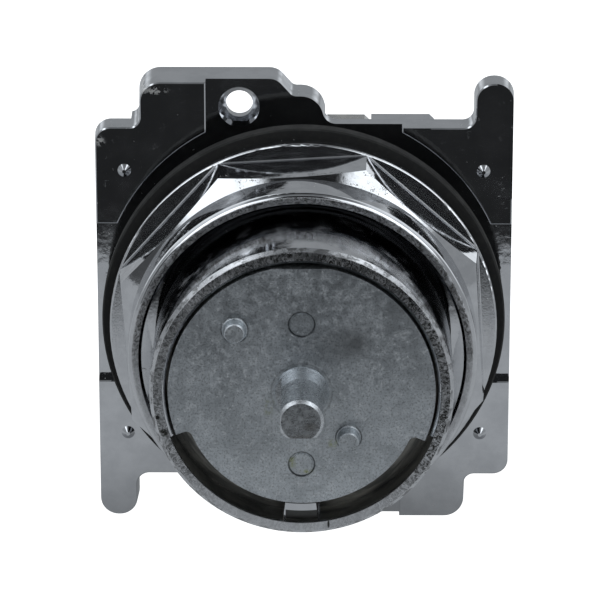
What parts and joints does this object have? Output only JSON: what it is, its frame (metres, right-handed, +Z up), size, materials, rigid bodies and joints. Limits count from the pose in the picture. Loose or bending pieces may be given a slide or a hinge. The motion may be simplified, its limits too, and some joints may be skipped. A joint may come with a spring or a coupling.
{
  "type": "rotary switch operator",
  "caption": "Panel-mount rotary switch operator: chromed casting with threaded barrel, octagonal ring nut, D-shaft rotor with detents, face cam and rear plungers.",
  "frame": {"origin": "on the rotor's axis, in the plane of the casting's four raised corner pads, where the panel's rear face sits", "axes": "+Z up the casting's long side, +X to the right seen from the front, -Y out of the panel towards the user"},
  "size_m": [0.0436, 0.0411, 0.0488],
  "materials": {
    "chrome_casting": "polished chrome plate",
    "chrome_nut": "polished chrome plate, worn lip",
    "die_cast_zinc": "matt bare die casting",
    "black_rubber": "matt",
    "zinc_plated_steel": "satin zinc plate",
    "hardened_steel": "ground",
    "ball_steel": "polished",
    "spring_steel": "oiled",
    "natural_nylon": "matt",
    "plunger_plastic": "satin",
    "black_nylon": "matt"
  },
  "bodies": {
    "housing": {"mounting_base": "chrome_casting", "panel_gasket": "black_rubber", "nut_thrust_washer": "zinc_plated_steel", "ring_nut": "chrome_nut", "rotor_thrust_washer": "natural_nylon", "detent_spring_top": "spring_steel", "detent_spring_bottom": "spring_steel", "plunger_spring_left": "spring_steel", "plunger_spring_right": "spring_steel", "plunger_guide": "black_nylon", "retainer_plate": "zinc_plated_steel", "retainer_screws": "zinc_plated_steel", "tail_washer": "zinc_plated_steel"},
    "rotor": {"rotor": "die_cast_zinc", "shaft_seal": "black_rubber", "detent_plate": "hardened_steel", "switching_cam": "black_nylon", "cam_retaining_ring": "spring_steel", "tail_retaining_ring": "spring_steel"},
    "plunger_left": {"plunger_left": "plunger_plastic"},
    "plunger_right": {"plunger_right": "plunger_plastic"},
    "detent_ball_top": {"detent_ball_top": "ball_steel"},
    "detent_ball_bottom": {"detent_ball_bottom": "ball_steel"}
  },
  "joints": [
    {"name": "rotor_turn", "type": "hinge", "parent": "housing", "child": "rotor", "pos_m": [0, -0.026, 0], "axis": [0, 1, 0], "range_deg": [-60, 60]},
    {"name": "plunger_right_slide", "type": "slide", "parent": "housing", "child": "plunger_right", "axis": [0, 1, 0], "range_m": [-0.002, 0.002], "deforming": ["plunger_spring_right"]},
    {"name": "plunger_left_slide", "type": "slide", "parent": "housing", "child": "plunger_left", "axis": [0, 1, 0], "range_m": [-0.002, 0.002], "deforming": ["plunger_spring_left"]},
    {"name": "ball_top_press", "type": "slide", "parent": "housing", "child": "detent_ball_top", "axis": [0, -1, 0], "range_m": [0, 0.0006], "stiffness_N_per_m": 400, "springref_m": -0.001, "deforming": ["detent_spring_top"]},
    {"name": "ball_bottom_press", "type": "slide", "parent": "housing", "child": "detent_ball_bottom", "axis": [0, -1, 0], "range_m": [0, 0.0006], "stiffness_N_per_m": 400, "springref_m": -0.001, "deforming": ["detent_spring_bottom"]}
  ],
  "couplings": [
    {"joint": "plunger_right_slide", "follows": "rotor_turn", "m_per_rad": 0.0019},
    {"joint": "plunger_left_slide", "follows": "rotor_turn", "m_per_rad": -0.0019}
  ]
}
